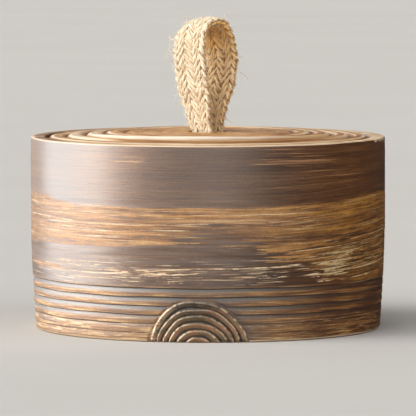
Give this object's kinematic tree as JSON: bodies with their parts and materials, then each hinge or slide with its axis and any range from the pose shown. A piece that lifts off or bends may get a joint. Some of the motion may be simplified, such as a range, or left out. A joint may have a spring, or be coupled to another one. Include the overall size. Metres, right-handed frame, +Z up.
{
  "type": "tea canister",
  "caption": "Low round stoneware tea canister with a carved foot, an inset lid turned in rings, a silicone lid seal and a braided jute lifting loop.",
  "frame": {"origin": "on the table, at the middle of the base", "axes": "+Z up through the lid and its lifting loop; the carved half-round knot is at the front, on -Y"},
  "size_m": [0.12, 0.12, 0.1053],
  "materials": {
    "stoneware": "satin",
    "lid_stoneware": "satin",
    "silicone": "matte",
    "jute": "matte"
  },
  "bodies": {
    "canister": {"canister_body": "stoneware"},
    "seal": {"lid_seal": "silicone"},
    "lid": {"lid": "lid_stoneware", "strap_knot": "jute"},
    "strap": {"strap_loop": "jute"}
  },
  "joints": [
    {"name": "lid_lift", "type": "slide", "parent": "canister", "child": "seal", "axis": [0, 0, 1], "range_m": [0, 0.06]},
    {"name": "lid_turn", "type": "hinge", "parent": "seal", "child": "lid", "pos_m": [0, 0, 0.0588], "axis": [0, 0, 1], "continuous": true},
    {"name": "strap_tilt", "type": "hinge", "parent": "lid", "child": "strap", "pos_m": [0, 0, 0.0691], "axis": [0.7431, -0.6691, 0], "range_deg": [-55, 55], "stiffness_Nm_per_rad": 0.004}
  ]
}
